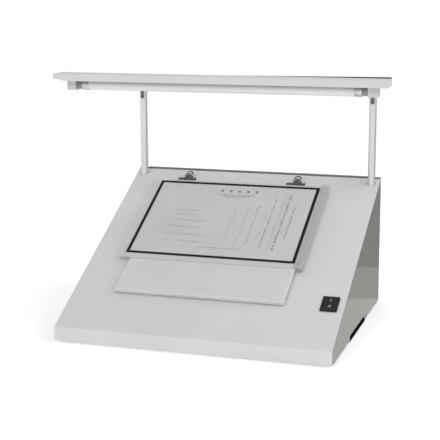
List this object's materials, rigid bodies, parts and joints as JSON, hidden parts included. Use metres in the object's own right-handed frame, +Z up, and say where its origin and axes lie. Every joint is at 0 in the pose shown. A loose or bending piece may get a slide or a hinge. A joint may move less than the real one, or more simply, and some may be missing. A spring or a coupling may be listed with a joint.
{
  "type": "light box",
  "caption": "Wedge-shaped desktop light box with a sloped opal viewing plate, film clips, a rocker switch and a tilting tubular lamp on posts over it.",
  "frame": {"origin": "on the floor under the middle of the whole object, at the underside of the rubber feet", "axes": "+X to the operator's right along the lamp, +Y away from the operator towards the posts, +Z up"},
  "size_m": [0.515, 0.364, 0.3886],
  "materials": {
    "white_paint": "white powder coat, satin",
    "grey_paint": "light grey powder coat, satin",
    "dark_grey_paint": "dark grey semi-gloss paint on steel bar",
    "grey_plastic": "grey moulded thermoplastic",
    "opal": "opal acrylic sheet, polished edges",
    "film": "translucent printed polyester film",
    "black_plastic": "black moulded thermoplastic, fine texture",
    "white_plastic": "white moulded thermoplastic",
    "dark_steel": "dark blued spring steel",
    "bright_steel": "zinc plated steel",
    "galvanised": "galvanised sheet steel",
    "cap_metal": "pressed aluminium lamp cap",
    "lamp_glass": "glass tube coated white inside",
    "rubber": "black moulded rubber, matt",
    "clear_plastic": "clear moulded plastic stud",
    "foam_tape": "white double-sided foam tape"
  },
  "bodies": {
    "housing": {"top_panel": "white_paint", "left_side_panel": "grey_paint", "right_side_panel": "grey_paint", "back_panel": "grey_paint", "base_plate": "galvanised", "front_left_foot": "rubber", "rear_left_foot": "rubber", "front_right_foot": "rubber", "rear_right_foot": "rubber", "upper_left_screw": "bright_steel", "upper_right_screw": "bright_steel", "lower_left_screw": "bright_steel", "lower_right_screw": "bright_steel", "opal_plate": "opal", "plate_tape": "foam_tape", "reflector_tray": "white_paint", "inner_tube_1": "lamp_glass", "inner_tube_2": "lamp_glass", "inner_tube_3": "lamp_glass", "left_holder_strip": "white_plastic", "right_holder_strip": "white_plastic", "ballast": "galvanised", "terminal_block": "white_plastic", "film_chart": "film", "film_stud": "clear_plastic", "left_clip_base": "dark_steel", "left_clip_pin": "bright_steel", "left_clip_spring": "bright_steel", "right_clip_base": "dark_steel", "right_clip_pin": "bright_steel", "right_clip_spring": "bright_steel", "switch_body": "black_plastic", "power_inlet": "black_plastic", "inlet_earth_pin": "bright_steel", "inlet_line_pin": "bright_steel", "inlet_neutral_pin": "bright_steel", "left_post": "white_paint", "right_post": "white_paint", "left_post_bracket": "galvanised", "right_post_bracket": "galvanised", "left_pivot_bolt": "bright_steel", "left_pivot_nut": "bright_steel", "right_pivot_bolt": "bright_steel", "right_pivot_nut": "bright_steel"},
    "lamp_head": {"left_arm": "dark_grey_paint", "right_arm": "dark_grey_paint", "carrier_bar": "dark_grey_paint", "lamp_ballast": "black_plastic", "hood_shell": "white_paint", "lamp_channel": "white_paint", "left_lamp_holder": "white_plastic", "right_lamp_holder": "white_plastic", "left_lamp_socket": "grey_plastic", "right_lamp_socket": "grey_plastic", "left_tube_cap": "cap_metal", "right_tube_cap": "cap_metal", "lamp_tube": "lamp_glass"},
    "rocker": {"switch_rocker": "black_plastic"},
    "left_lever": {"left_clip_lever": "dark_steel"},
    "right_lever": {"right_clip_lever": "dark_steel"}
  },
  "joints": [
    {"name": "head_tilt", "type": "hinge", "parent": "housing", "child": "lamp_head", "pos_m": [0, 0.162, 0.3475], "axis": [1, 0, 0], "range_deg": [-40, 25]},
    {"name": "switch_rocker_tilt", "type": "hinge", "parent": "housing", "child": "rocker", "pos_m": [0.188, -0.0995, 0.06617], "axis": [-1, 0, 0], "range_deg": [0, 18]},
    {"name": "left_clip_lift", "type": "hinge", "parent": "housing", "child": "left_lever", "pos_m": [-0.111, 0.14615, 0.20423], "axis": [-1, 0, 0], "range_deg": [0, 22], "stiffness_Nm_per_rad": 0.03, "springref_deg": -34.38},
    {"name": "right_clip_lift", "type": "hinge", "parent": "housing", "child": "right_lever", "pos_m": [0.0769, 0.14615, 0.20423], "axis": [-1, 0, 0], "range_deg": [0, 22], "stiffness_Nm_per_rad": 0.03, "springref_deg": -34.38}
  ]
}
